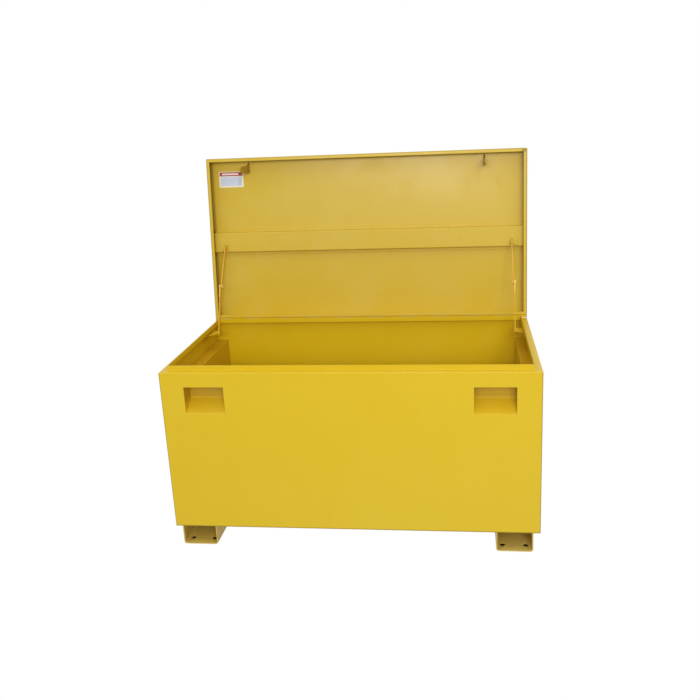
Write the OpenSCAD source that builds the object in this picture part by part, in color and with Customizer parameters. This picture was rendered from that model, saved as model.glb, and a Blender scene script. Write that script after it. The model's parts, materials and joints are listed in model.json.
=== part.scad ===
// Steel site storage chest with a folding-stay lid and a sliding tool tray.
// Millimetres. +Z up, +Y to the back, +X to the right.
// Origin: on the floor, midway between the four outer anchor holes of the skids.
// The lid is drawn closed and then turned open about its hinge pin.

/* [Chest] */
// Outside width of the chest
box_w = 1220; // [1000:10:1500]
// Outside depth of the chest
box_d = 620; // [520:10:750]
// Height from the chest's underside to its rim ledge
box_h = 550; // [450:10:700]
// Thickness of the chest and lid sheet
sheet = 2; // [1.5:0.1:2.4]
// Width of the flat ledge that carries the lid
ledge_w = 24; // [18:1:28]
// Height of the upstand behind the ledge
upstand_h = 17; // [12:1:22]

/* [Lid] */
// Angle at which the lid stands open
open_angle = 96; // [90:1:100]
// Height of the lid's skirt
skirt_h = 57; // [48:1:80]
// Width of the return flange round the skirt's edge
return_w = 13; // [10:1:16]
// Distance that the lid's front lip overhangs the front panel
lip_over = 3; // [0:0.5:6]
// Gap between the closed lid and the ledge
lid_gap = 1; // [0.6:0.1:2]
// Width of the lid stiffener's crown
stiffener_w = 77; // [60:1:100]
// Height of the lid stiffener
stiffener_h = 24; // [16:1:28]
// Width of the stiffener's welding flanges
stiffener_flange = 13; // [8:1:20]
// Width of the lid label
label_w = 98; // [80:1:130]
// Height of the lid label
label_h = 61; // [40:1:80]

/* [Hinge] */
// Distance from the chest's back face to the hinge pin
hinge_out = 5; // [4.6:0.1:6]
// Height of the hinge pin above the ledge
hinge_up = 5; // [4.6:0.1:6]
// Radius of the hinge pin
hinge_pin_r = 2; // [1.5:0.1:2.4]
// Outer radius of the hinge knuckles
knuckle_r = 4; // [3.4:0.1:4.4]
// Number of hinge knuckles
knuckle_count = 20; // [8:2:24]
// Width of each hinge leaf
leaf_w = 30; // [24:1:40]

/* [Stays] */
// Distance from the hinge pin to the stay's pivot on the lid
stay_reach = 284; // [270:1:300]
// Distance from the back face to the stay's pivot on the chest
stay_back = 132; // [120:1:150]
// Depth of the stay's pivot on the chest below the ledge
stay_drop = 14; // [12:1:20]
// Length of the lower stay bar between its pivots
stay_lower_l = 184; // [180:1:230]
// Length of the upper stay bar between its pivots
stay_upper_l = 162; // [158:1:200]
// Width of the stay bars
stay_bar_w = 17; // [14:1:20]
// Thickness of the stay bars
stay_bar_t = 3; // [2:0.5:3]
// Distance from the chest's side face to the middle of the upper stay bar
stay_inset = 57; // [54:1:70]

/* [Locks] */
// Distance from the chest's side face to the middle of a padlock pocket
pocket_inset = 144; // [130:1:200]
// Width of the padlock pocket
pocket_w = 131; // [110:1:150]
// Height of the padlock pocket's mouth
pocket_h = 88; // [80:1:110]
// Distance from the ledge down to the pocket's mouth
pocket_drop = 50; // [44:1:60]
// Depth of the padlock pocket
pocket_depth = 60; // [58:1:80]
// Height of the pocket's upright back
pocket_back_h = 58; // [50:1:66]
// Distance from the chest's side face to the middle of a lock tab
tab_inset = 155; // [150:1:160]
// Thickness of the lock tab
tab_t = 5; // [4:0.5:6]
// Radius of the lock tab's rounded end
tab_r = 11; // [10:0.5:12]
// Radius of the padlock hole
padlock_hole_r = 5.5; // [4:0.5:6]

/* [Skids] */
// Height of the skids
skid_h = 68; // [50:1:120]
// Width of the skids
skid_w = 119; // [100:1:140]
// Steel thickness of the skids
skid_t = 4; // [3:0.5:6]
// Distance from the chest's side face to the middle of a skid
skid_inset = 82; // [75:1:200]
// Spacing of the caster holes across the skid
caster_x = 76; // [60:1:90]
// Spacing of the caster holes along the skid
caster_y = 92; // [30:1:120]
// Distance from the skid's end to its first holes
caster_end = 34; // [20:1:60]
// Radius of the caster holes
caster_hole_r = 9; // [4:0.5:10]

/* [Tray] */
// Distance from the ledge down to the top of the side rails
rail_drop = 76; // [66:1:120]
// Width of the side rails
rail_w = 43; // [38:1:60]
// Height of the side rails
rail_h = 130; // [80:1:200]
// Front-to-back size of the tray
tray_d = 160; // [120:1:180]
// Depth of the tray
tray_h = 75; // [50:1:110]
// Thickness of the tray's sheet
tray_t = 1.5; // [1:0.1:2]
// Travel of the tray along the rails
tray_travel = 60; // [30:1:60]
// Gap between the tray and what it slides on or between
tray_gap = 0.4; // [0.3:0.1:1]

/* [Side handles] */
// Distance between the two arms of a side handle
handle_w = 112; // [90:1:140]
// Length of a side handle's arms
handle_l = 58; // [45:1:80]
// Radius of the handle rod
handle_rod_r = 5; // [4:0.5:6]
// Height of the handle pivots above the chest's underside
handle_z = 372; // [250:1:400]

/* [Hidden] */
$fn = 64;

paint = [0.86, 0.70, 0.16];
inner_paint = [0.70, 0.55, 0.08];
skid_paint = [0.62, 0.50, 0.16];
zinc = [0.72, 0.72, 0.70];
label_white = [0.92, 0.92, 0.90];

running = 0.06;            // radial clearance of a pin in a turning piece
seat = 0.04;               // radial clearance of a rivet in the piece that holds it
cut = 1;                   // how far a cutting shape runs past the face it cuts

half_w = box_w / 2;
half_d = box_d / 2;
ledge_z = skid_h + box_h;
inner_w = half_w - sheet;
inner_d = half_d - sheet;

hinge_y = half_d + hinge_out;
hinge_z = ledge_z + hinge_up;
leaf_t = 1.5;
leaf_gap = 0.6;
knuckle_l = box_w / knuckle_count;
hinge_rivet_r = 4;
hinge_rivet_h = 1.6;

rim_z = ledge_z + lid_gap;
lid_top_z = rim_z + skirt_h;
lid_under_z = lid_top_z - sheet;
lid_front_y = -half_d - lip_over;
crown_z = lid_under_z - stiffener_h;

// Stay pivots. The lid pivot is written closed, and turned open for the elbow.
stay_x = half_w - stay_inset;
bar_gap = 1;
lower_x = stay_x + stay_bar_t + bar_gap;
bracket_t = 3;
side_gap = 0.5;
bracket_x = lower_x + stay_bar_t / 2 + side_gap;
lug_x = stay_x + stay_bar_t / 2 + side_gap;
rivet_r = 4;
rivet_head_r = 7;
rivet_head_h = 2;
stay_top_y = hinge_y - stay_reach;
stay_top_z = hinge_z;
stay_foot = [half_d - stay_back, ledge_z - stay_drop];
stay_head = [hinge_y - stay_reach * cos(open_angle), hinge_z + stay_reach * sin(open_angle)];
stay_span = norm(stay_head - stay_foot);
stay_slope = atan2(stay_head[1] - stay_foot[1], stay_head[0] - stay_foot[0]);
lower_bend = acos((stay_span * stay_span + stay_lower_l * stay_lower_l - stay_upper_l * stay_upper_l)
    / (2 * stay_span * stay_lower_l));
lower_angle = stay_slope + lower_bend;
elbow = stay_foot + stay_lower_l * [cos(lower_angle), sin(lower_angle)];
upper_angle = atan2(stay_head[1] - elbow[1], stay_head[0] - elbow[0]);
elbow_plate_l = 42;
elbow_plate_t = 1.5;

// Padlock pockets and the tabs that drop into them.
pocket_x = half_w - pocket_inset;
pocket_top_z = ledge_z - pocket_drop;
pocket_floor_z = pocket_top_z - pocket_h;
pocket_back_y = -half_d + pocket_depth;
ramp_top_z = pocket_top_z - pocket_back_h;
ramp_rise = ramp_top_z - pocket_floor_z;
tab_x = half_w - tab_inset;
tab_y = pocket_back_y - tab_r - 5;
tab_z = pocket_top_z - 13;
tab_slot_gap = 2;
tab_front_y = -half_d + ledge_w + sheet + 2.5;

skid_x = half_w - skid_inset;

rail_top_z = ledge_z - rail_drop;
rail_x = inner_w - rail_w;
stop_h = 12;
stop_t = 3;
tray_half_w = half_w - ledge_w - sheet - 2;
tub_half_w = rail_x - 5;
tray_floor_z = rail_top_z + tray_gap + tray_t - tray_h;
tray_front_y = pocket_back_y + sheet + 8;
tray_back_y = tray_front_y + tray_d;
flange_w = 12;
divider_x = tub_half_w / 3;
divider_h = tray_h - 16;
tray_handle_h = 40;
tray_handle_w = 120;
tray_rod_r = 4;

handle_pivot_z = skid_h + handle_z;
handle_plate_t = 3;
handle_pivot_x = half_w + handle_plate_t + handle_rod_r + 3;
handle_bend_r = 13;
knuckle_wall = 3;
handle_knuckle_l = 18;
handle_stub_l = handle_knuckle_l + 6;
handle_knuckle_y = handle_w / 2 + handle_bend_r + handle_stub_l / 2;
handle_plate_l = 2 * handle_knuckle_y + handle_knuckle_l + 24;

// Puts a right-hand shape on the side named: 1 is right, -1 is left.
module on_side(side) {
    mirror([side < 0 ? 1 : 0, 0, 0]) children();
}

// Extrudes a (y, z) outline along X between two places.
module along_x(from_x, to_x) {
    translate([from_x, 0, 0]) rotate([90, 0, 90]) linear_extrude(height = to_x - from_x) children();
}

// A cylinder along X between two places, round the point (y, z).
module rod_x(from_x, to_x, at, radius) {
    translate([from_x, at[0], at[1]]) rotate([0, 90, 0]) cylinder(r = radius, h = to_x - from_x);
}

// Turns lid pieces, drawn closed, to the open lid.
module opened() {
    translate([0, hinge_y, hinge_z]) rotate([-open_angle, 0, 0]) translate([0, -hinge_y, -hinge_z]) children();
}

// Outline of a wall with its ledge and upstand, seen from the end; the wall stands at -reach.
module wall_outline(reach) {
    polygon([
        [-reach, skid_h], [-reach, ledge_z], [-reach + ledge_w, ledge_z],
        [-reach + ledge_w, ledge_z + upstand_h], [-reach + ledge_w + sheet, ledge_z + upstand_h],
        [-reach + ledge_w + sheet, ledge_z - sheet], [-reach + sheet, ledge_z - sheet], [-reach + sheet, skid_h]
    ]);
}

// The wedge, in plan, that a wall keeps so that its ends are mitred to its neighbours.
module mitre(reach, length) {
    translate([0, 0, skid_h - cut]) linear_extrude(height = box_h + upstand_h + 2 * cut)
        polygon([[-length, -reach], [length, -reach], [length - ledge_w * 2, -reach + ledge_w * 2],
            [-length + ledge_w * 2, -reach + ledge_w * 2]]);
}

module long_wall() {
    intersection() {
        along_x(-half_w, half_w) wall_outline(half_d);
        mitre(half_d, half_w);
    }
}

module pocket_mouth() {
    translate([pocket_x - pocket_w / 2, -half_d - cut, pocket_floor_z]) cube([pocket_w, sheet + 2 * cut, pocket_h]);
}

module front_panel() {
    color(paint) difference() {
        long_wall();
        for (side = [-1, 1]) on_side(side) pocket_mouth();
    }
}

module back_panel() {
    color(paint) rotate([0, 0, 180]) long_wall();
}

module end_panel(side) {
    color(paint) rotate([0, 0, side * 90]) intersection() {
        along_x(-half_d, half_d) wall_outline(half_w);
        mitre(half_w, half_d);
    }
}

module floor_panel() {
    color(inner_paint) translate([-inner_w, -inner_d, skid_h]) cube([2 * inner_w, 2 * inner_d, sheet]);
}

// Outline of the pocket's hollow, grown outwards by a wall.
module pocket_outline(wall, mouth_y) {
    slope = ramp_rise / pocket_depth;
    fall = wall * sqrt(1 + slope * slope);
    polygon([
        [mouth_y, pocket_top_z + wall], [pocket_back_y + wall, pocket_top_z + wall],
        [pocket_back_y + wall, ramp_top_z - fall + wall * slope],
        [mouth_y, pocket_floor_z + (mouth_y + half_d) * slope - fall]
    ]);
}

module lock_housing(side) {
    slot_w = tab_t + 2 * tab_slot_gap;
    slot_front = -half_d + ledge_w + sheet;
    color(inner_paint) on_side(side) difference() {
        along_x(pocket_x - pocket_w / 2 - sheet, pocket_x + pocket_w / 2 + sheet)
            pocket_outline(sheet, -inner_d);
        along_x(pocket_x - pocket_w / 2, pocket_x + pocket_w / 2) pocket_outline(0, -inner_d - cut);
        translate([tab_x - slot_w / 2, slot_front, pocket_top_z - cut])
            cube([slot_w, pocket_back_y - slot_front - cut, sheet + 2 * cut]);
    }
}

// A box-section rail along the end wall; its top carries the tray.
module side_rail(side) {
    color(inner_paint) on_side(side) difference() {
        translate([rail_x, -inner_d, rail_top_z - rail_h]) cube([rail_w, 2 * inner_d, rail_h]);
        translate([rail_x + sheet, -inner_d - cut, rail_top_z - rail_h + sheet])
            cube([rail_w - sheet + cut, 2 * inner_d + 2 * cut, rail_h - 2 * sheet]);
    }
}

// Small upright tabs on the rails that end the tray's travel.
module rail_stops() {
    color(inner_paint) for (side = [-1, 1]) on_side(side)
        for (y = [tray_front_y - tray_gap - stop_t, tray_back_y + tray_travel + tray_gap])
            translate([rail_x + 4, y, rail_top_z]) cube([tray_half_w - rail_x - 6, stop_t, stop_h]);
}

module skid(side) {
    color(skid_paint) on_side(side) translate([skid_x, 0, 0]) difference() {
        translate([-skid_w / 2, -half_d, 0]) cube([skid_w, box_d, skid_h]);
        translate([-skid_w / 2 + skid_t, -half_d - cut, skid_t])
            cube([skid_w - 2 * skid_t, box_d + 2 * cut, skid_h]);
        for (end = [-1, 1], across = [-0.5, 0.5], row = [0, 1])
            translate([across * caster_x, end * (half_d - caster_end - row * caster_y), -cut])
                cylinder(r = caster_hole_r, h = skid_t + 2 * cut);
    }
}

// Shelf bracket on the end wall with an ear that carries the stay's lower pivot.
module stay_bracket(side) {
    top_z = ledge_z - 3 * sheet - 2;
    ear_r = 11;
    color(inner_paint) on_side(side) difference() {
        union() {
            translate([0, 0, top_z - bracket_t]) linear_extrude(height = bracket_t) polygon([
                [inner_w, stay_foot[0] - 56], [inner_w, stay_foot[0] + 26],
                [bracket_x, stay_foot[0] + 20], [bracket_x, stay_foot[0] - 20]]);
            translate([bracket_x, stay_foot[0] - ear_r, stay_foot[1]])
                cube([bracket_t, 2 * ear_r, top_z - stay_foot[1] - bracket_t / 2]);
            rod_x(bracket_x, bracket_x + bracket_t, stay_foot, ear_r);
            translate([inner_w - bracket_t, stay_foot[0] - 56, top_z - 30]) cube([bracket_t, 82, 30 - bracket_t / 2]);
        }
        rod_x(bracket_x - cut, bracket_x + bracket_t + cut, stay_foot, rivet_r + seat);
        rod_x(bracket_x + bracket_t, bracket_x + bracket_t + rivet_head_h + 0.5, stay_foot, rivet_head_r + 0.5);
    }
}

// A rivet along X from the inside head to the outside head.
module rivet(from_x, to_x, at) {
    rod_x(from_x - rivet_head_h, to_x + rivet_head_h, at, rivet_r);
    rod_x(from_x - rivet_head_h, from_x, at, rivet_head_r);
    rod_x(to_x, to_x + rivet_head_h, at, rivet_head_r);
}

module stay_bottom_rivet(side) {
    color(zinc) on_side(side)
        rivet(lower_x - stay_bar_t / 2 - bar_gap / 3, bracket_x + bracket_t, stay_foot);
}

// A round-ended bar from one pivot towards another, in the plane x = at_x.
module stay_bar(at_x, from, angle, length, drilled) {
    translate([at_x - stay_bar_t / 2, from[0], from[1]]) rotate([angle, 0, 0]) difference() {
        union() {
            translate([0, 0, -stay_bar_w / 2]) cube([stay_bar_t, length, stay_bar_w]);
            for (y = [0, length]) translate([0, y, 0]) rotate([0, 90, 0]) cylinder(r = stay_bar_w / 2, h = stay_bar_t);
        }
        for (y = drilled) translate([-cut, y, 0]) rotate([0, 90, 0])
            cylinder(r = rivet_r + running, h = stay_bar_t + 2 * cut);
    }
}

module stay_lower_bar(side) {
    color(paint) on_side(side) stay_bar(lower_x, stay_foot, lower_angle, stay_lower_l, [0]);
}

module stay_upper_bar(side) {
    color(paint) on_side(side) stay_bar(stay_x, elbow, upper_angle, stay_upper_l, [0, stay_upper_l]);
}

// Stiffening plate on the lower bar's free end, with the tail of the elbow rivet.
module stay_elbow_plate(side) {
    plate_x = lower_x + stay_bar_t / 2;
    color(paint) on_side(side) translate([plate_x, stay_foot[0], stay_foot[1]]) rotate([lower_angle, 0, 0]) {
        translate([0, stay_lower_l - elbow_plate_l, -stay_bar_w / 2])
            cube([elbow_plate_t, elbow_plate_l, stay_bar_w]);
        translate([0, stay_lower_l, 0]) rotate([0, 90, 0]) cylinder(r = stay_bar_w / 2, h = elbow_plate_t);
        translate([0, stay_lower_l, 0]) rotate([0, 90, 0])
            cylinder(r = rivet_head_r - 1, h = elbow_plate_t + rivet_head_h);
    }
}

// The elbow rivet turns in the upper bar and stops just short of the lower bar.
module stay_elbow_rivet(side) {
    inner_face = stay_x - stay_bar_t / 2 - running;
    outer_end = stay_x + stay_bar_t / 2 + bar_gap / 2;
    color(zinc) on_side(side) {
        rod_x(inner_face - rivet_head_h, inner_face, elbow, rivet_head_r);
        rod_x(inner_face - cut, outer_end, elbow, rivet_r);
    }
}

// One leaf's knuckles: every second one along the hinge, starting at first.
module knuckles(first) {
    for (k = [first : 2 : knuckle_count - 1]) let (x = -half_w + k * knuckle_l + leaf_gap / 2)
        rod_x(x, x + knuckle_l - leaf_gap, [hinge_y, hinge_z], knuckle_r);
}

// A hinge leaf: a plate on the back face and the straps that carry its knuckles.
module hinge_leaf(first, up) {
    clear = knuckle_r + leaf_gap;
    difference() {
        union() {
            knuckles(first);
            translate([-half_w, half_d, up > 0 ? hinge_z + clear : hinge_z - leaf_w])
                cube([box_w, leaf_t, leaf_w - clear]);
            for (k = [first : 2 : knuckle_count - 1])
                translate([-half_w + k * knuckle_l + leaf_gap / 2, half_d, up > 0 ? hinge_z : hinge_z - clear - cut])
                    cube([knuckle_l - leaf_gap, leaf_t, clear + cut]);
        }
        rod_x(-half_w - cut, half_w + cut, [hinge_y, hinge_z], hinge_pin_r + running);
    }
}

module hinge_leaf_box() {
    color(paint) hinge_leaf(0, -1);
}

module hinge_leaf_lid() {
    color(paint) opened() hinge_leaf(1, 1);
}

module hinge_pin() {
    color(zinc) rod_x(-half_w, half_w, [hinge_y, hinge_z], hinge_pin_r);
}

// Domed rivets along a hinge leaf, at a height z.
module hinge_rivets(z) {
    for (k = [0 : knuckle_count - 1]) translate([-half_w + (k + 0.5) * knuckle_l, half_d + leaf_t, z])
        rotate([-90, 0, 0]) cylinder(r1 = hinge_rivet_r, r2 = hinge_rivet_r * 0.7, h = hinge_rivet_h);
}

module hinge_rivets_box() {
    color(zinc) hinge_rivets(hinge_z - leaf_w * 0.6);
}

module hinge_rivets_lid() {
    color(zinc) opened() hinge_rivets(hinge_z + leaf_w * 0.6);
}

// A pressed pan: the top, four skirts and a flange turned inwards round the edge.
module lid_pan() {
    depth = half_d - lid_front_y;
    color(paint) opened() difference() {
        translate([-half_w, lid_front_y, rim_z]) cube([box_w, depth, skirt_h]);
        translate([-inner_w, lid_front_y + sheet, rim_z + sheet])
            cube([2 * inner_w, depth - 2 * sheet, skirt_h - 2 * sheet]);
        translate([-half_w + return_w, lid_front_y + return_w, rim_z - cut])
            cube([box_w - 2 * return_w, depth - 2 * return_w, sheet + 2 * cut]);
    }
}

// Hat section across the inside of the lid.
module lid_stiffener() {
    mid_y = stay_top_y - stiffener_w / 2 + 19;
    half_crown = stiffener_w / 2;
    color(paint) opened() along_x(-inner_w, inner_w) translate([mid_y, lid_under_z]) difference() {
        union() {
            translate([-half_crown, -stiffener_h]) square([stiffener_w, stiffener_h]);
            translate([-half_crown - stiffener_flange, -sheet])
                square([stiffener_w + 2 * stiffener_flange, sheet]);
        }
        translate([-half_crown + sheet, -stiffener_h + sheet])
            square([stiffener_w - 2 * sheet, stiffener_h - sheet + cut]);
    }
}

// Angle lug welded to the stiffener's crown; its ear carries the stay's upper pivot.
module stay_lug(side) {
    at = [stay_top_y, stay_top_z];
    ear_r = 10;
    foot_w = 22;
    color(paint) opened() on_side(side) difference() {
        union() {
            translate([lug_x, at[0] - ear_r, at[1]]) cube([bracket_t, 2 * ear_r, crown_z - at[1]]);
            rod_x(lug_x, lug_x + bracket_t, at, ear_r);
            translate([lug_x, at[0] - ear_r - 3, crown_z - bracket_t])
                cube([foot_w, 2 * ear_r + 6, bracket_t]);
        }
        rod_x(lug_x - cut, lug_x + bracket_t + cut, at, rivet_r + seat);
    }
}

module stay_top_rivet(side) {
    color(zinc) opened() on_side(side)
        rivet(stay_x - stay_bar_t / 2 - bar_gap / 3, lug_x + bracket_t, [stay_top_y, stay_top_z]);
}

// Plate welded to the lid's underside that drops behind the upstand into the pocket.
module lock_tab(side) {
    color(paint) opened() on_side(side) difference() {
        along_x(tab_x - tab_t / 2, tab_x + tab_t / 2) union() {
            polygon([
                [lid_front_y + return_w + 3, lid_under_z], [tab_front_y, rim_z + 24], [tab_front_y, rim_z - 12],
                [tab_y - tab_r, tab_z], [tab_y + tab_r, tab_z], [tab_y + tab_r, lid_under_z]
            ]);
            translate([tab_y, tab_z]) circle(r = tab_r);
        }
        rod_x(tab_x - tab_t, tab_x + tab_t, [tab_y, tab_z], padlock_hole_r);
    }
}

// Printed label stuck inside the lid, near its front left corner.
module lid_label() {
    edge_x = 32;
    edge_y = 49;
    label_t = 0.4;
    color(label_white) opened()
        translate([-half_w + edge_x, lid_front_y + edge_y, lid_under_z - label_t]) cube([label_w, label_h, label_t]);
}

// Open-topped tub with a flange round its rim; the end flanges ride on the rails.
module tray_pan() {
    rim = rail_top_z + tray_gap;
    color(paint) difference() {
        union() {
            translate([-tray_half_w, tray_front_y, rim]) cube([2 * tray_half_w, tray_d, tray_t]);
            translate([-tub_half_w, tray_front_y + flange_w, tray_floor_z])
                cube([2 * tub_half_w, tray_d - 2 * flange_w, tray_h]);
        }
        translate([-tub_half_w + tray_t, tray_front_y + flange_w + tray_t, tray_floor_z + tray_t])
            cube([2 * (tub_half_w - tray_t), tray_d - 2 * (flange_w + tray_t), tray_h + cut]);
    }
}

module tray_divider(side) {
    color(paint) translate([side * divider_x - tray_t / 2, tray_front_y + flange_w + tray_t, tray_floor_z + tray_t])
        cube([tray_t, tray_d - 2 * (flange_w + tray_t), divider_h]);
}

// A quarter bend of rod in the plane of two directions, turned into place by the caller.
module rod_bend(bend_r, radius) {
    rotate_extrude(angle = 90) translate([bend_r, 0]) circle(r = radius);
}

// Bent-rod grip that stands on the tray's floor between the dividers.
module tray_handle() {
    bend = 12;
    top_z = rail_top_z + tray_handle_h;
    foot_z = tray_floor_z + tray_t;
    half = tray_handle_w / 2;
    color(zinc) translate([0, tray_front_y + tray_d / 2, 0]) {
        for (side = [-1, 1]) on_side(side) {
            translate([half, 0, foot_z]) cylinder(r = tray_rod_r, h = top_z - bend - foot_z);
            translate([half - bend, 0, top_z - bend]) rotate([90, 0, 0]) rod_bend(bend, tray_rod_r);
        }
        rod_x(-half + bend, half - bend, [0, top_z], tray_rod_r);
    }
}

// Plate on the end wall with two knuckles that the handle's stubs turn in.
module handle_bracket(side) {
    plate_h = 44;
    outer_r = handle_rod_r + knuckle_wall;
    color(paint) on_side(side) difference() {
        union() {
            translate([half_w, -handle_plate_l / 2, handle_pivot_z - plate_h / 2])
                cube([handle_plate_t, handle_plate_l, plate_h]);
            for (end = [-1, 1]) translate([0, end * handle_knuckle_y - handle_knuckle_l / 2, handle_pivot_z]) {
                translate([handle_pivot_x, 0, 0]) rotate([-90, 0, 0]) cylinder(r = outer_r, h = handle_knuckle_l);
                translate([half_w + handle_plate_t / 2, 0, -outer_r])
                    cube([handle_pivot_x - half_w - handle_plate_t / 2, handle_knuckle_l, 2 * outer_r]);
            }
        }
        translate([handle_pivot_x, -half_d, handle_pivot_z]) rotate([-90, 0, 0])
            cylinder(r = handle_rod_r + running, h = box_d);
    }
}

// A quarter bend of the handle rod in the plane of Y and Z, from an angle onwards.
module handle_bend(at, from) {
    translate([0, at[0], at[1]]) rotate([90, 0, 90]) rotate([0, 0, from]) rod_bend(handle_bend_r, handle_rod_r);
}

// Bent rod that hangs from its two stubs and lifts outwards.
module side_handle(side) {
    half = handle_w / 2;
    low = handle_pivot_z - handle_l;
    color(zinc) on_side(side) translate([handle_pivot_x, 0, 0]) {
        for (end = [-1, 1]) mirror([0, end < 0 ? 1 : 0, 0]) {
            handle_bend([half - handle_bend_r, low + handle_bend_r], -90);
            translate([0, half, low + handle_bend_r])
                cylinder(r = handle_rod_r, h = handle_l - 2 * handle_bend_r);
            handle_bend([half + handle_bend_r, handle_pivot_z - handle_bend_r], 90);
            translate([0, half + handle_bend_r, handle_pivot_z]) rotate([-90, 0, 0])
                cylinder(r = handle_rod_r, h = handle_stub_l);
        }
        translate([0, -half + handle_bend_r, low]) rotate([-90, 0, 0])
            cylinder(r = handle_rod_r, h = handle_w - 2 * handle_bend_r);
    }
}

front_panel();
back_panel();
end_panel(-1);  // end_panel_left
end_panel(1);  // end_panel_right
floor_panel();
lock_housing(-1);  // lock_housing_left
lock_housing(1);  // lock_housing_right
side_rail(-1);  // side_rail_left
side_rail(1);  // side_rail_right
rail_stops();
skid(-1);  // skid_left
skid(1);  // skid_right
stay_bracket(-1);  // stay_bracket_left
stay_bracket(1);  // stay_bracket_right
stay_bottom_rivet(-1);  // stay_bottom_rivet_left
stay_bottom_rivet(1);  // stay_bottom_rivet_right
hinge_leaf_box();
hinge_pin();
hinge_rivets_box();
handle_bracket(-1);  // handle_bracket_left
handle_bracket(1);  // handle_bracket_right
side_handle(-1);  // side_handle_left
side_handle(1);  // side_handle_right
lid_pan();
lid_stiffener();
lock_tab(-1);  // lock_tab_left
lock_tab(1);  // lock_tab_right
hinge_leaf_lid();
hinge_rivets_lid();
stay_lug(-1);  // stay_lug_left
stay_lug(1);  // stay_lug_right
stay_top_rivet(-1);  // stay_top_rivet_left
stay_top_rivet(1);  // stay_top_rivet_right
lid_label();
stay_lower_bar(-1);  // stay_lower_bar_left
stay_lower_bar(1);  // stay_lower_bar_right
stay_upper_bar(-1);  // stay_upper_bar_left
stay_upper_bar(1);  // stay_upper_bar_right
stay_elbow_plate(-1);  // stay_elbow_plate_left
stay_elbow_plate(1);  // stay_elbow_plate_right
stay_elbow_rivet(-1);  // stay_elbow_rivet_left
stay_elbow_rivet(1);  // stay_elbow_rivet_right
tray_pan();
tray_divider(-1);  // tray_divider_left
tray_divider(1);  // tray_divider_right
tray_handle();
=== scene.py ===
"""Looks of the steel site chest: rounded sheet pieces, weld beads, powder coat, zinc, studio light and camera."""

import json
import math

import bmesh
import bpy
from mathutils import Matrix, Vector


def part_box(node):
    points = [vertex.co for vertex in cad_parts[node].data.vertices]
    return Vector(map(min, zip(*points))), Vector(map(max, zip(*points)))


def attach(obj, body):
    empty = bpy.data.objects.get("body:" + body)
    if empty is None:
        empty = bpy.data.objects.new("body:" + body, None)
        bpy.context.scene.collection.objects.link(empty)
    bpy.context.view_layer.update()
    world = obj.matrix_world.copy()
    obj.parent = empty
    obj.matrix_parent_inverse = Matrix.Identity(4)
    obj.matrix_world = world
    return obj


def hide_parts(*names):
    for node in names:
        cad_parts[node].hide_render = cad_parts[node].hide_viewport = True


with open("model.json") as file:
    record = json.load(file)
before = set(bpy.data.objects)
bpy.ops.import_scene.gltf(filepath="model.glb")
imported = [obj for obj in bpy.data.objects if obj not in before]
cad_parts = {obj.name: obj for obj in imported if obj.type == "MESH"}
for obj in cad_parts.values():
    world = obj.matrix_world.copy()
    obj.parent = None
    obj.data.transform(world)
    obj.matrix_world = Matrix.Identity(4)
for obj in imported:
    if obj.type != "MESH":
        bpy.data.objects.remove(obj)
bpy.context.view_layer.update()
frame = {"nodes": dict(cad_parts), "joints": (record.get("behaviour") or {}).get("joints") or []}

MM = 0.001
joints = {j["name"]: j for j in frame["joints"]}
hinge = Vector(joints["lid_hinge"]["pos_m"])
lid_swing = math.radians(joints["lid_hinge"]["range_deg"][1])
SHUT = Matrix.Translation(hinge) @ Matrix.Rotation(lid_swing, 4, "X") @ Matrix.Translation(-hinge)
OPENED = SHUT.inverted()
STILL = Matrix.Identity(4)

SHEET = 2 * MM                # chest and lid
SKID_SHEET = 4 * MM
LEAF_DROP = 25 * MM           # how far the hinge's chest leaf hangs below the ledge
OUTER_BEND = 4.5 * MM
INNER_BEND = 2.5 * MM
SKID_BEND = 9 * MM
CASTER_X, CASTER_Y, CASTER_R = (-38 * MM, 38 * MM), (34 * MM, 126 * MM), 9 * MM
MERGE = 2e-6                  # vertices nearer than this are one vertex
CUT = 1e-5                    # how near the mitre a vertex counts as on it
EDGE_TINT_AND_SHADE = 0.55              # strength of the darker edges and of the painted shade
# colour of the darker edges and of the painted shade
TINT_AND_SHADE_COLOUR = (84, 60, 14)


def shut_box(node):
    """The low and high corners of a CAD node of the lid, as it lies when the lid is shut."""
    places = [SHUT @ v.co for v in frame["nodes"][node].data.vertices]
    low = Vector([min(c[i] for c in places) for i in range(3)])
    high = Vector([max(c[i] for c in places) for i in range(3)])
    return low, high


chest_lo, chest_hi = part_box("front_panel")
half_w = chest_hi.x
half_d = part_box("back_panel")[1].y
under_z = chest_lo.z
ledge_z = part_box("hinge_leaf_box")[0].z + LEAF_DROP
ledge_in = half_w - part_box("tray_pan")[1].x - 4 * MM        # width of the ledge
slot_x = (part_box("lock_tab_right")[0].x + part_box("lock_tab_right")[1].x) / 2
lid_lo, lid_hi = shut_box("lid_pan")
crown_z = shut_box("lid_stiffener")[0].z


# ---------------------------------------------------------------- shader expressions

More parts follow.
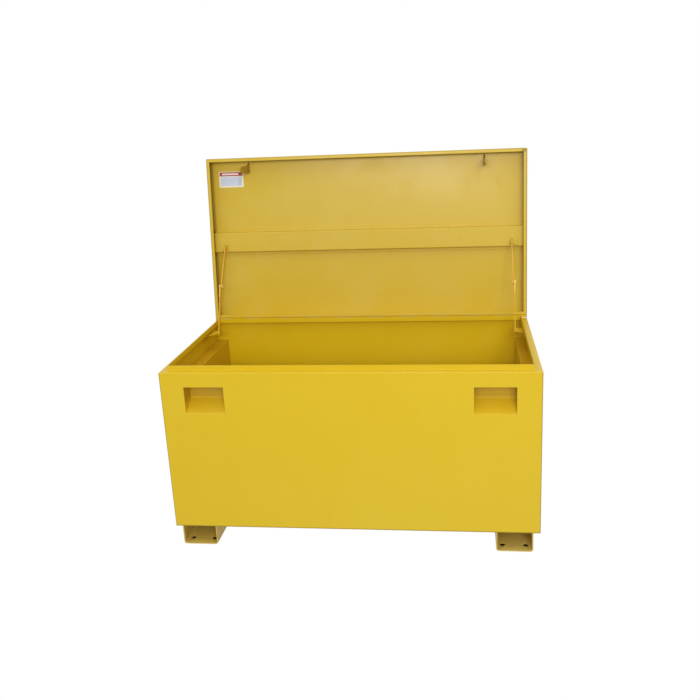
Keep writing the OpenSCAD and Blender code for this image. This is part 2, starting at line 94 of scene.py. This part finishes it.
class Wire:
    """A socket in a material, or a number, with arithmetic that adds Math nodes."""

    def __init__(self, finish, socket):
        self.finish, self.socket = finish, socket

    def _math(self, operation, *values):
        return self.finish.node("ShaderNodeMath", {"operation": operation}, dict(enumerate(values)))

    def __add__(self, other): return self._math("ADD", self, other)
    def __radd__(self, other): return self._math("ADD", other, self)
    def __sub__(self, other): return self._math("SUBTRACT", self, other)
    def __rsub__(self, other): return self._math("SUBTRACT", other, self)
    def __mul__(self, other): return self._math("MULTIPLY", self, other)
    def __truediv__(self, other): return self._math("DIVIDE", self, other)
    def __gt__(self, other): return self._math("GREATER_THAN", self, other)
    def __lt__(self, other): return self._math("LESS_THAN", self, other)
    def abs(self): return self._math("ABSOLUTE", self)
    def least(self, other): return self._math("MINIMUM", self, other)
    def most(self, other): return self._math("MAXIMUM", self, other)

    def ramp(self, low, high):
        """0 below low, 1 above high, smooth between."""
        return self.finish.node("ShaderNodeMapRange", {"interpolation_type": "SMOOTHSTEP"},
                                {"Value": self, "From Min": low, "From Max": high})


class Nodes:
    """A node tree, filled a node at a time; place is its pattern coordinate."""

    def __init__(self, tree, coordinate):
        self.tree = tree
        self.place = self.node("ShaderNodeTexCoord", {}, {}, coordinate)

    def feed(self, socket, value):
        if isinstance(value, Wire):
            self.tree.links.new(value.socket, socket)
        else:
            socket.default_value = value

    def node(self, kind, settings, values, output=0):
        made = self.tree.nodes.new(kind)
        for name, value in settings.items():
            setattr(made, name, value)
        for name, value in values.items():
            self.feed(made.inputs[name], value)
        return Wire(self, made.outputs[output])

    def axis(self, letter):
        return self.node("ShaderNodeSeparateXYZ", {}, {0: self.place}, letter)

    def grain(self, scale, detail=2.0, roughness=0.5, stretch=None, distortion=0.0):
        """Noise from 0 to 1 over the piece; stretch squeezes the pattern along each axis."""
        place = self.place if stretch is None else self.node(
            "ShaderNodeMapping", {}, {"Vector": self.place, "Scale": stretch})
        return self.node("ShaderNodeTexNoise", {}, {"Vector": place, "Scale": scale, "Detail": detail,
                                                    "Roughness": roughness, "Distortion": distortion})

    def blend(self, factor, first, second):
        made = self.tree.nodes.new("ShaderNodeMix")
        made.data_type = "RGBA"
        for index, value in ((0, factor), (6, first), (7, second)):
            self.feed(made.inputs[index], value)
        return Wire(self, made.outputs[2])

    def bump(self, height, distance, strength=1.0):
        return self.node("ShaderNodeBump", {}, {"Height": height, "Distance": distance, "Strength": strength})


class Finish(Nodes):
    """A material with one Principled shader."""

    def __init__(self, name):
        self.material = bpy.data.materials.new(name)
        self.material.use_nodes = True
        super().__init__(self.material.node_tree, "Object")
        self.shader = self.tree.nodes["Principled BSDF"]

    def surface(self, **values):
        for name, value in values.items():
            self.feed(self.shader.inputs[name.replace("_", " ")], value)
        return self.material


def rgb(red, green, blue):
    """A colour given as it looks on a screen, 0 to 255, as linear light."""
    def linear(value):
        value /= 255
        return value / 12.92 if value <= 0.04045 else ((value + 0.055) / 1.055) ** 2.4
    return (linear(red), linear(green), linear(blue), 1.0)


def powder_coat(name, colour, pale, dark, roughness, dust=0.10, scuff=0.06, deep=None, edges_and_shade=None):
    """Oven-cured powder paint: fine orange peel, slow drift in tone, rubbed patches and hairline scratches.

    deep is a second colour with the two heights between which it gives way to the first, used for painted shade;
    soil darkens edges and paints shade.
    """
    f = Finish(name)
    drift = f.grain(1.7, 3.0, 0.55).ramp(0.3, 0.7)
    cloud = f.grain(9.0, 4.0, 0.6).ramp(0.42, 0.75)
    rubbed = f.grain(34.0, 5.0, 0.65, stretch=(1.0, 1.0, 0.35)).ramp(0.56, 0.74)
    hairs = f.grain(60.0, 3.0, 0.7, stretch=(0.06, 1.0, 1.0), distortion=1.2)
    scratch = (hairs - 0.5).abs().ramp(0.012, 0.0) * f.grain(5.0, 1.0).ramp(0.55, 0.7)
    speck = f.grain(900.0, 1.0).ramp(0.70, 0.78)
    # painted shade: the deep colour takes over between the two heights and holds above them
    if deep:
        colour = f.blend(f.axis("Z").ramp(deep[1], deep[2]), colour, deep[0])
    tone = f.blend(drift * 0.30, colour, pale)
    tone = f.blend(cloud * dust, tone, pale)
    tone = f.blend(rubbed * scuff, tone, dark)
    tone = f.blend(scratch * 0.30, tone, pale)
    tone = f.blend(speck * 0.10, tone, dark)
    # soil darkens edges and, on the lid, paints shade
    if edges_and_shade:
        tone = f.blend(edges_and_shade(f) * EDGE_TINT_AND_SHADE, tone, rgb(*TINT_AND_SHADE_COLOUR))
    peel = f.grain(420.0, 2.0, 0.5)
    wave = f.grain(26.0, 2.0, 0.5)
    height = peel * 0.000035 + wave * 0.00012 - scratch * 0.00003
    rough = roughness + cloud * 0.12 + rubbed * 0.10 - drift * 0.05 + scratch * 0.1
    return f.surface(Base_Color=tone, Roughness=rough, Coat_Weight=0.12, Coat_Roughness=0.2,
                     Specular_IOR_Level=0.4, Normal=f.bump(height, 1.0))


def wall_edge_tint(f):
    """Darker on the four upright corners and along the bottom edge of the chest."""
    corner = f.axis("X").abs().ramp(half_w - 4 * MM, half_w - 1 * MM) * f.axis("Y").abs().ramp(
        half_d - 4 * MM, half_d - 1 * MM)
    foot = f.axis("Z").ramp(under_z + 5 * MM, under_z + 1 * MM)
    return corner.most(foot)


def lid_edge_tint_and_shade(f):
    """Darker along the lid's outer rim edges as on the chest, painted shade in a band inside the side and front
    skirts below the turned-in rim, and a painted shadow at the rim's front right corner; laid out on the shut lid.
    """
    flat = f.node("ShaderNodeMapping", {"vector_type": "POINT"}, {
        "Vector": f.place, "Location": tuple(SHUT.translation), "Rotation": (lid_swing, 0.0, 0.0)})
    def along(letter):
        return f.node("ShaderNodeSeparateXYZ", {}, {0: flat}, letter)
    rim = along("Z").ramp(lid_lo.z + 4 * MM, lid_lo.z + 1 * MM)
    edge = along("X").abs().ramp(lid_hi.x - 4 * MM, lid_hi.x - 1 * MM).most(
        along("Y").ramp(lid_lo.y + 4 * MM, lid_lo.y + 1 * MM))
    side = lid_hi.x - along("X").abs()
    front = along("Y") - lid_lo.y
    wall = side.least(front)
    # painted shade: a band along the inside of the side and front skirts, below the turned-in rim
    skirt_painted_shade = (wall > 1.5 * MM) * wall.ramp(14 * MM, 4 * MM) * (along("Z") > lid_lo.z + 4 * MM)
    # the mask named weld is a painted shadow: a dark patch on the rim at its front right corner, where the
    # turned-in flanges leave a gap
    weld = (lid_hi.x - along("X")).ramp(22 * MM, 18 * MM) * side.ramp(3 * MM, 5 * MM) * (
        front.ramp(15 * MM, 12 * MM) * front.ramp(3 * MM, 5 * MM) * (along("Z") < lid_lo.z + 3 * MM))
    return (rim * edge).most(skirt_painted_shade * 0.9).most(weld)


def pocket_paint_with_shade():
    """The inner paint in the padlock pockets, with painted shade: darker towards the top of the recess."""
    low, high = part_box("lock_housing_left")
    tall = high.z - low.z
    return powder_coat("powder_coat_pockets_painted_shade", rgb(214, 174, 24), rgb(216, 184, 46), rgb(158, 120, 10), 0.46,
                       deep=(rgb(176, 138, 16), low.z + 0.28 * tall, low.z + 0.48 * tall))


def zinc_plate(name):
    """Passivated zinc: dull, patchy, with fine marks."""
    f = Finish(name)
    patch = f.grain(120.0, 3.0, 0.6).ramp(0.35, 0.7)
    marks = f.grain(700.0, 2.0, 0.6)
    tone = f.blend(patch * 0.5, rgb(190, 186, 172), rgb(150, 143, 122))
    tone = f.blend(f.grain(30.0, 2.0).ramp(0.55, 0.8) * 0.3, tone, rgb(120, 108, 80))
    return f.surface(Base_Color=tone, Metallic=0.9, Roughness=0.32 + patch * 0.16,
                     Normal=f.bump(marks * 0.00003, 1.0))


yellow = powder_coat("powder_coat_yellow", rgb(212, 178, 16), rgb(216, 188, 48), rgb(172, 134, 10), 0.36,
                     edges_and_shade=wall_edge_tint)
yellow_lid = powder_coat("powder_coat_lid_with_painted_shade", rgb(208, 175, 36), rgb(213, 188, 90), rgb(172, 134, 20), 0.34, 0.22,
                         edges_and_shade=lid_edge_tint_and_shade)
yellow_inner = powder_coat("powder_coat_inside", rgb(226, 184, 20), rgb(218, 186, 40), rgb(158, 122, 8), 0.42)
# painted shade: the inside paint darkened for the side rails, rail stops, stay brackets and chest welds, which lie
# in shade inside the chest
rail_paint_painted_shade = powder_coat("powder_coat_rails_painted_shade", rgb(206, 163, 16), rgb(208, 172, 32), rgb(146, 108, 8), 0.46)
# painted shade: the lock tabs' paint darkened, as the tabs stand in shade
tab_paint_painted_shade = powder_coat("powder_coat_tabs_painted_shade", rgb(176, 136, 18), rgb(190, 152, 40), rgb(130, 94, 10), 0.46)
stay_paint = powder_coat("powder_coat_stays", rgb(224, 170, 30), rgb(232, 188, 80), rgb(150, 104, 8), 0.34,
                         0.3, 0.3)
# painted highlight: pale cream paint on the stay elbow plates and elbow rivets
elbow_painted_highlight = powder_coat("powder_coat_elbows_painted_highlight", rgb(252, 226, 130), rgb(255, 236, 170), rgb(220, 180, 70), 0.28)
pocket_shade_paint = pocket_paint_with_shade()
ochre = powder_coat("powder_coat_skids", rgb(198, 170, 74), rgb(208, 186, 110), rgb(110, 82, 30), 0.5,
                    0.3, 0.45)
zinc = zinc_plate("zinc_plate")


# ---------------------------------------------------------------- rounded copies of sheet pieces

def copied(*nodes):
    """The CAD nodes' shapes as one merged mesh."""
    bm = bmesh.new()
    for node in nodes:
        bm.from_mesh(frame["nodes"][node].data)
    bmesh.ops.remove_doubles(bm, verts=bm.verts, dist=MERGE)
    return bm


def parted(bm, places):
    """Lays a seam across the mesh at each x, so that no whole face has to run round a hole."""
    for x in places:
        cut = bmesh.ops.bisect_plane(bm, geom=bm.verts[:] + bm.edges[:] + bm.faces[:], dist=1e-7,
                                     plane_co=(x, 0, 0), plane_no=(1, 0, 0))
        for made in cut["geom_cut"]:
            if isinstance(made, bmesh.types.BMEdge):
                made.seam = True


def whole_faces(bm):
    """Joins flat triangles into whole faces, up to the seams."""
    bmesh.ops.dissolve_limit(bm, angle_limit=math.radians(0.5), verts=bm.verts, edges=bm.edges, delimit={"SEAM"})


def creases(bm, least=20.0):
    """Edges where two faces meet at more than a slight angle."""
    return [e for e in bm.edges if len(e.link_faces) == 2 and e.calc_face_angle(0) > math.radians(least)]


def round_off(bm, edges, radius, segments=4):
    if edges:
        bmesh.ops.bevel(bm, geom=edges, offset=radius, offset_type="OFFSET", affect="EDGES", segments=segments,
                        profile=0.5, material=-1, clamp_overlap=True, loop_slide=True)


def between(edge, test, turn=STILL):
    """Both ends of the edge pass the test."""
    return all(test(turn @ v.co) for v in edge.verts)


def piece(name, bm, material, body, weighted=True):
    """Makes a smooth mesh object at the origin that rides on a body."""
    bmesh.ops.triangulate(bm, faces=[f for f in bm.faces if len(f.verts) > 4], ngon_method="EAR_CLIP")
    mesh = bpy.data.meshes.new(name)
    bm.to_mesh(mesh)
    bm.free()
    for face in mesh.polygons:
        face.use_smooth = True
    mesh.materials.append(material)
    made = bpy.data.objects.new(name, mesh)
    bpy.context.scene.collection.objects.link(made)
    if weighted:
        normals = made.modifiers.new("even_shading", "WEIGHTED_NORMAL")
        normals.mode = "FACE_AREA"
        normals.weight = 100
    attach(made, body)
    return made


def near(value, target, slack=0.0003):
    return abs(value - target) < slack


def softened(node, material, body, radius, segments=2, least=20.0, seams=()):
    """A copy of one CAD node with every crease eased by the same small radius."""
    bm = copied(node)
    parted(bm, seams)
    whole_faces(bm)
    round_off(bm, creases(bm, least), radius, segments)
    made = piece(node + "_look", bm, material, body)
    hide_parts(node)


def bent(node, material, body, bends, radius, turn=STILL, seams=()):
    """A copy of one CAD node with stated bends rounded, then every other crease eased a little."""
    bm = copied(node)
    parted(bm, seams)
    whole_faces(bm)
    for size, test in bends:
        round_off(bm, [e for e in creases(bm) if between(e, test, turn)], size, 4)
    round_off(bm, creases(bm, 50.0), radius, 1)
    made = piece(node + "_look", bm, material, body)
    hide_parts(node)


# ---------------------------------------------------------------- chest walls

WALLS = {"front_panel": (0, -1), "back_panel": (0, 1), "end_panel_left": (-1, 0), "end_panel_right": (1, 0)}


def on_ring(co, inset):
    """co lies on the rectangle that runs round the chest at this distance inside its faces."""
    return near(max(abs(co.x) - (half_w - inset), abs(co.y) - (half_d - inset)), 0)


def chest_walls():
    """The four walls rounded as one folded tub, then parted again at the mitres and capped."""
    bm = copied(*WALLS)
    joins = [f for f in bm.faces if near(abs(f.normal.x), abs(f.normal.y), 0.05) and near(f.normal.z, 0, 0.05)]
    bmesh.ops.delete(bm, geom=joins, context="FACES")
    bmesh.ops.remove_doubles(bm, verts=bm.verts, dist=MERGE)
    parted(bm, (-slot_x, slot_x))
    for edge in bm.edges:
        edge.seam |= between(edge, lambda c: near(half_w - abs(c.x), half_d - abs(c.y)))
    whole_faces(bm)
    bends = (
        (OUTER_BEND, 5, lambda c: on_ring(c, 0) and c.z > under_z + 1e-4),
        (OUTER_BEND, 5, lambda c: near(abs(c.x), half_w) and near(abs(c.y), half_d)),
        (INNER_BEND, 3, lambda c: on_ring(c, SHEET) and near(c.z, ledge_z - SHEET)),
        (INNER_BEND, 3, lambda c: near(abs(c.x), half_w - SHEET) and near(abs(c.y), half_d - SHEET)),
        (1.5 * MM, 3, lambda c: on_ring(c, ledge_in) and near(c.z, ledge_z)),
        (1.6 * MM, 3, lambda c: on_ring(c, ledge_in + SHEET) and near(c.z, ledge_z - SHEET)))
    for radius in dict.fromkeys(size for size, _, _ in bends):
        tests = [test for size, _, test in bends if size == radius]
        steps = [count for size, count, _ in bends if size == radius][0]
        round_off(bm, [e for e in creases(bm) if any(between(e, test) for test in tests)], radius, steps)
    round_off(bm, [e for e in creases(bm, 50.0) if not between(e, lambda c: near(c.z, under_z))], 0.5 * MM, 2)
    for node, (x, y) in WALLS.items():
        part = bm.copy()
        mitres = [(Vector((sx * half_w, sy * half_d, 0)), Vector((sx, -sy, 0)).normalized() * (1 if y else -1))
                  for sx in ((-1, 1) if y else (x,)) for sy in ((-1, 1) if x else (y,))]
        for point, outward in mitres + [(Vector((0, 0, 0)), Vector((-x, -y, 0)))]:
            bmesh.ops.bisect_plane(part, geom=part.verts[:] + part.edges[:] + part.faces[:], dist=CUT,
                                   plane_co=point, plane_no=outward, clear_outer=True)
        bmesh.ops.remove_doubles(part, verts=[v for v in part.verts if v.is_boundary], dist=2 * CUT)
        for point, outward in mitres:
            rim = [e for e in part.edges if e.is_boundary
                   and between(e, lambda c: abs((c - point).dot(outward)) < 10 * CUT)]
            bmesh.ops.holes_fill(part, edges=rim, sides=0)
        bmesh.ops.recalc_face_normals(part, faces=part.faces)
        made = piece(node + "_look", part, yellow, "chest")
        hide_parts(node)
    bm.free()


chest_walls()


# ---------------------------------------------------------------- lid, skids and the smaller pieces

def lid_shell():
    """The lid pan: a deep-drawn tray of sheet with round outer bends and a turned-in rim."""
    def skin(inset):
        def test(c):
            sides = near(abs(c.x), half_w - inset) + (near(c.y, lid_lo.y + inset) or near(c.y, half_d - inset))
            caps = near(c.z, lid_hi.z - inset) or near(c.z, lid_lo.z + inset)
            return sides + caps >= 2
        return test
    bent("lid_pan", yellow_lid, "lid", [(OUTER_BEND, skin(0)), (INNER_BEND, skin(SHEET))], 0.5 * MM, SHUT, (0,))


def at_height(z):
    return lambda c: near(c.z, z, 0.2 * MM)


def skid(side):
    """A folded channel with generous bends along its foot and caster holes bored through its web."""
    low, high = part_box("skid_" + side)
    middle = (low.x + high.x) / 2
    bm = bmesh.new()
    profile = [bm.verts.new((x, low.y, z))
               for x, z in ((low.x, high.z), (low.x, low.z), (high.x, low.z), (high.x, high.z))]
    wires = [bm.edges.new(pair) for pair in zip(profile, profile[1:])]
    run = bmesh.ops.extrude_edge_only(bm, edges=wires)["geom"]
    bmesh.ops.translate(bm, verts=[v for v in run if isinstance(v, bmesh.types.BMVert)], vec=(0, high.y - low.y, 0))
    round_off(bm, creases(bm), SKID_BEND, 6)
    web = max(bm.faces, key=lambda f: f.calc_area())
    rims = list(web.edges)
    bmesh.ops.delete(bm, geom=[web], context="FACES_ONLY")
    for x in CASTER_X:
        for end in (-1, 1):
            for y in CASTER_Y:
                place = Matrix.Translation((middle + x, end * (high.y - y), 0))
                ring = bmesh.ops.create_circle(bm, cap_ends=False, radius=CASTER_R, segments=24, matrix=place)
                rims += {e for v in ring["verts"] for e in v.link_edges}
    bmesh.ops.triangle_fill(bm, use_beauty=True, use_dissolve=False, edges=rims, normal=(0, 0, -1))
    bmesh.ops.recalc_face_normals(bm, faces=bm.faces)
    if min(bm.faces, key=lambda f: f.calc_center_median().z).normal.z > 0:
        bmesh.ops.reverse_faces(bm, faces=bm.faces)
    bmesh.ops.solidify(bm, geom=bm.faces[:] + bm.edges[:] + bm.verts[:], thickness=SKID_SHEET)
    bmesh.ops.recalc_face_normals(bm, faces=bm.faces)
    round_off(bm, [e for e in creases(bm, 50.0) if not between(
        e, lambda c: near(c.z, low.z) or near(c.z, low.z + SKID_SHEET))], 0.8 * MM, 2)
    made = piece("skid_%s_look" % side, bm, ochre, "chest")
    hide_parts("skid_" + side)


lid_shell()
bent("lid_stiffener", yellow_lid, "lid", [
    (4.0 * MM, at_height(crown_z)), (2.0 * MM, at_height(crown_z + SHEET)),
    (2.0 * MM, at_height(lid_hi.z - 2 * SHEET))], 0.4 * MM, SHUT)
for side in ("left", "right"):
    softened("lock_tab_" + side, tab_paint_painted_shade, "lid", 0.8 * MM)
    softened("stay_lug_" + side, yellow_lid, "lid", 0.6 * MM)
    softened("lock_housing_" + side, pocket_shade_paint, "chest", 1.2 * MM, seams=(slot_x if side == "right" else -slot_x,))
    softened("stay_bracket_" + side, rail_paint_painted_shade, "chest", 0.7 * MM)
    softened("side_rail_" + side, rail_paint_painted_shade, "chest", 1.5 * MM, 3)
    skid(side)
    softened("stay_lower_bar_" + side, stay_paint, "stay_lower_" + side, 0.7 * MM)
    softened("stay_upper_bar_" + side, stay_paint, "stay_upper_" + side, 0.7 * MM)
    softened("stay_elbow_plate_" + side, elbow_painted_highlight, "stay_lower_" + side, 0.5 * MM)
    softened("stay_bottom_rivet_" + side, yellow, "chest", 1.2 * MM, 3, 50.0)
    softened("stay_top_rivet_" + side, yellow, "lid", 1.2 * MM, 3, 50.0)
    softened("stay_elbow_rivet_" + side, elbow_painted_highlight, "stay_upper_" + side, 1.0 * MM, 3, 50.0)
    softened("handle_bracket_" + side, yellow, "chest", 0.8 * MM, 2, 50.0)
    softened("side_handle_" + side, zinc, "handle_" + side, 1.0 * MM, 2, 60.0)
    softened("tray_divider_" + side, yellow_inner, "tray", 0.4 * MM)
softened("rail_stops", rail_paint_painted_shade, "chest", 0.8 * MM)
softened("tray_pan", yellow_inner, "tray", 0.5 * MM, seams=(0,))
softened("tray_handle", zinc, "tray", 1.0 * MM, 2, 60.0)
softened("hinge_leaf_box", yellow, "chest", 0.3 * MM, 1, 50.0)
softened("hinge_leaf_lid", yellow, "lid", 0.3 * MM, 1, 50.0)
softened("hinge_pin", yellow, "chest", 0.6 * MM, 2, 60.0)
softened("hinge_rivets_box", yellow, "chest", 0.5 * MM, 2, 30.0)
softened("hinge_rivets_lid", yellow, "lid", 0.5 * MM, 2, 30.0)
softened("floor_panel", yellow_inner, "chest", 0.4 * MM)


# ---------------------------------------------------------------- welds and rivets

def dome(bm, at, across, high, outward):
    """A low round button on a face at a point, facing outward."""
    turn = Vector(outward).to_track_quat("Z", "Y").to_matrix().to_4x4()
    place = Matrix.Translation(at) @ turn @ Matrix.Diagonal((across / 2, across / 2, high, 1))
    made = bmesh.ops.create_uvsphere(bm, u_segments=12, v_segments=6, radius=1.0)
    bmesh.ops.transform(bm, matrix=place, verts=made["verts"])


def bead(bm, start, end, width=4.5 * MM, pitch=3.2 * MM):
    """A weld laid as a row of overlapping ripples from one point to another."""
    start, end = Vector(start), Vector(end)
    along = (end - start).normalized()
    turn = along.to_track_quat("X", "Z").to_matrix().to_4x4()
    row = bmesh.new()
    for n in range(int((end - start).length / pitch) + 1):
        wobble = 1 + 0.12 * math.sin(n * 2.4)
        place = Matrix.Translation(start + along * pitch * n) @ turn @ Matrix.Diagonal(
            (pitch * 0.95, width / 2 * wobble, width / 2 * wobble, 1))
        made = bmesh.ops.create_uvsphere(row, u_segments=8, v_segments=5, radius=1.0)
        bmesh.ops.transform(row, matrix=place, verts=made["verts"])
    laid = bpy.data.meshes.new("laid_bead")
    row.to_mesh(laid)
    row.free()
    bm.from_mesh(laid)
    bpy.data.meshes.remove(laid)


def group(name, material, body, make, turn=STILL):
    """One piece from many small shapes, moved to where its body rests."""
    bm = bmesh.new()
    make(bm)
    bmesh.ops.transform(bm, matrix=turn, verts=bm.verts)
    piece(name, bm, material, body, weighted=False)


def lid_spots(bm):
    """Spot welds along the stiffener's two flanges."""
    low, high = shut_box("lid_stiffener")
    for y in (low.y + 6.5 * MM, high.y - 6.5 * MM):
        for n in range(-7, 8):
            dome(bm, (n * 80 * MM, y, lid_hi.z - 2 * SHEET), 6 * MM, 0.35 * MM, (0, 0, -1))


def lid_beads(bm):
    """Welds that hold the lock tabs and the stay lugs."""
    for side in ("left", "right"):
        low, high = shut_box("lock_tab_" + side)
        for x in (low.x, high.x):
            bead(bm, (x, low.y + 4 * MM, lid_hi.z - SHEET), (x, high.y - 4 * MM, lid_hi.z - SHEET), 4 * MM)
        low, high = shut_box("stay_lug_" + side)
        for y in (low.y, high.y):
            bead(bm, (low.x + 3 * MM, y, crown_z - 0.8 * MM), (high.x - 3 * MM, y, crown_z - 0.8 * MM), 3 * MM)


def chest_beads(bm):
    """Stitch welds on the skids, the rails and the stay brackets."""
    for side, way in (("left", -1), ("right", 1)):
        low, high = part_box("skid_" + side)
        for x in (low.x, high.x):
            for y in (-0.24, -0.08, 0.08, 0.24):
                bead(bm, (x, y - 0.03, high.z - 1 * MM), (x, y + 0.03, high.z - 1 * MM))
        low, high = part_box("side_rail_" + side)
        wall = way * (half_w - SHEET)
        for y in (-0.22, -0.02, 0.18):
            bead(bm, (wall, y, low.z), (wall, y + 0.04, low.z))
        low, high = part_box("stay_bracket_" + side)
        bead(bm, (wall, low.y + 8 * MM, high.z), (wall, high.y - 8 * MM, high.z), 3.5 * MM)


def bracket_rivets(bm):
    """Domed rivets at the corners of the side-handle plates."""
    for side, way in (("left", -1), ("right", 1)):
        low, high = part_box("handle_bracket_" + side)
        face = way * (half_w + 3 * MM)
        for y in (low.y + 9 * MM, high.y - 9 * MM):
            for z in (low.z + 9 * MM, high.z - 9 * MM):
                dome(bm, (face, y, z), 9 * MM, 2.2 * MM, (way, 0, 0))


def hinge_sleeve(bm):
    """The sleeve on the hinge pin that closes the slits between the knuckles."""
    bmesh.ops.create_cone(bm, cap_ends=True, segments=20, radius1=3.9 * MM, radius2=3.9 * MM,
                          depth=2 * half_w - 3 * MM,
                          matrix=Matrix.Translation(hinge) @ Matrix.Rotation(math.pi / 2, 4, "Y"))


group("hinge_sleeve", yellow, "chest", hinge_sleeve)
group("stiffener_spot_welds", yellow_lid, "lid", lid_spots, OPENED)
group("lid_weld_beads", yellow_lid, "lid", lid_beads, OPENED)
group("chest_weld_beads", rail_paint_painted_shade, "chest", chest_beads)
group("handle_plate_rivets", yellow, "chest", bracket_rivets)


# ---------------------------------------------------------------- label

def label_print():
    """A plain data plate: red band with a white bar, faint ruled lines, no words."""
    f = Finish("label_print")
    box_lo, box_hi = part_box("lid_label")
    across = (f.axis("X") - box_lo.x) / (box_hi.x - box_lo.x)
    up = (f.axis("Z") - box_lo.z) / (box_hi.z - box_lo.z)
    inside = (across > 0.03) * (across < 0.97)
    band = (up > 0.72) * (up < 0.96) * inside
    bar = (up > 0.79) * (up < 0.885) * (across > 0.12) * (across < 0.80)
    line = f.node("ShaderNodeMath", {"operation": "FRACT"}, {0: up * 11.0})
    ruled = (line > 0.72) * (up > 0.10) * (up < 0.62) * (across > 0.08) * (across < 0.72)
    panel = (across > 0.78) * (across < 0.92) * (up > 0.12) * (up < 0.60)
    field = (up > 0.10) * (up < 0.68) * (across > 0.06) * (across < 0.94)
    tone = f.blend(field, rgb(240, 232, 200), rgb(208, 216, 232))
    tone = f.blend(ruled * 0.45, tone, rgb(150, 156, 172))
    tone = f.blend(panel * 0.35, tone, rgb(150, 152, 156))
    tone = f.blend(band, tone, rgb(172, 46, 36))
    tone = f.blend(bar, tone, rgb(244, 236, 228))
    return f.surface(Base_Color=tone, Roughness=0.28 + f.grain(60.0, 2.0) * 0.15, Coat_Weight=0.4,
                     Normal=f.bump(f.grain(500.0, 2.0) * 0.00002, 1.0))


softened("lid_label", label_print(), "lid", 0.12 * MM, 1)


# ---------------------------------------------------------------- studio

# strength of the surround's light from all around, above, below, in front and behind
WORLD_FILL, WORLD_TOP, WORLD_FLOOR, WORLD_FRONT, WORLD_BACK = 0.12, 1.12, 0.66, 0.34, 0.5


def surround():
    """A world that is white to the camera and lights the chest from above, below, in front and behind."""
    world = bpy.data.worlds.new("soft_studio")
    world.use_nodes = True
    bpy.context.scene.world = world
    sky = Nodes(world.node_tree, "Generated")
    height = sky.axis("Z")
    glow = (WORLD_FILL + height.ramp(0.2, 1.0) * WORLD_TOP + (0 - height).ramp(0.2, 1.0) * WORLD_FLOOR
            + (0 - sky.axis("Y")).ramp(0.2, 1.0) * WORLD_FRONT + sky.axis("Y").ramp(0.2, 1.0) * WORLD_BACK)
    seen = sky.node("ShaderNodeLightPath", {}, {}, "Is Camera Ray")
    sky.feed(world.node_tree.nodes["Background"].inputs["Strength"], glow + seen * (1.0 - glow))
    world.node_tree.nodes["Background"].inputs["Color"].default_value = (1.0, 1.0, 1.0, 1.0)


def skid_shade():
    """Dark strips just under the skids: they show through the caster holes from above, and are clear from below."""
    f = Finish("shade_under_skids")
    f.surface(Base_Color=rgb(58, 44, 16), Roughness=0.9, Specular_IOR_Level=0.0)
    sides = f.tree.nodes.new("ShaderNodeMixShader")
    f.tree.links.new(f.tree.nodes.new("ShaderNodeNewGeometry").outputs["Backfacing"], sides.inputs[0])
    f.tree.links.new(f.shader.outputs[0], sides.inputs[1])
    f.tree.links.new(f.tree.nodes.new("ShaderNodeBsdfTransparent").outputs[0], sides.inputs[2])
    f.tree.links.new(sides.outputs[0], f.tree.nodes["Material Output"].inputs["Surface"])
    for side in ("left", "right"):
        low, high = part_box("skid_" + side)
        bm = bmesh.new()
        bmesh.ops.create_grid(bm, x_segments=1, y_segments=1, size=0.5)
        bmesh.ops.transform(bm, verts=bm.verts, matrix=Matrix.Translation((low + high) / 2) @ Matrix.Diagonal(
            (high.x - low.x - 26 * MM, high.y - low.y - 26 * MM, 1, 1)))
        bmesh.ops.translate(bm, verts=bm.verts, vec=(0, 0, low.z - 1 * MM - (low.z + high.z) / 2))
        mesh = bpy.data.meshes.new("shade_under_skid_" + side)
        bm.to_mesh(mesh)
        bm.free()
        mesh.materials.append(f.material)
        shade = bpy.data.objects.new("shade_under_skid_" + side, mesh)
        bpy.context.scene.collection.objects.link(shade)


def lamp(name, place, aim, energy, **settings):
    """An area lamp at a place, turned towards its aim."""
    data = bpy.data.lights.new(name, "AREA")
    data.energy = energy
    for setting, value in settings.items():
        setattr(data, setting, value)
    made = bpy.data.objects.new(name, data)
    made.location = place
    made.rotation_euler = (Vector(aim) - Vector(place)).to_track_quat("-Z", "Y").to_euler()
    bpy.context.scene.collection.objects.link(made)
    return made


CAMERA_PLACE = (0.3689, -2.5937, 1.4233)
PITCH, ROLL, YAW = 15.32, -2.51, -7.13                      # degrees
LENS, SHIFT_X, SHIFT_Y = 40.10, -0.0272, -0.0448


def camera():
    """The camera that looks slightly down on the open chest from its front right."""
    data = bpy.data.cameras.new("view")
    data.sensor_width = 36.0
    data.lens = LENS
    data.shift_x, data.shift_y = SHIFT_X, SHIFT_Y
    data.clip_end = 200
    pitch, roll, yaw = math.radians(PITCH), math.radians(ROLL), math.radians(YAW)
    forward = Vector((math.sin(yaw) * math.cos(pitch), math.cos(yaw) * math.cos(pitch), -math.sin(pitch)))
    right = Vector((math.cos(yaw), -math.sin(yaw), 0))
    up = right.cross(forward)
    level = math.cos(roll) * right + math.sin(roll) * up
    upright = math.cos(roll) * up - math.sin(roll) * right
    made = bpy.data.objects.new("view", data)
    made.matrix_world = Matrix.Translation(CAMERA_PLACE) @ Matrix(
        (level, upright, -forward)).transposed().to_4x4()
    bpy.context.scene.collection.objects.link(made)
    bpy.context.scene.camera = made


surround()
skid_shade()
key = lamp("key_box", (1.3, -4.6, 2.3), (0.4, 0.4, 1.1), 90, size=1.5)
key.visible_glossy = False
lamp("lid_glow", (-0.02, -4.2, 2.0), (0.15, 0.4, 1.15), 40, shape="RECTANGLE", size=1.7, size_y=0.4)
camera()
bpy.context.scene.view_settings.view_transform = "Standard"
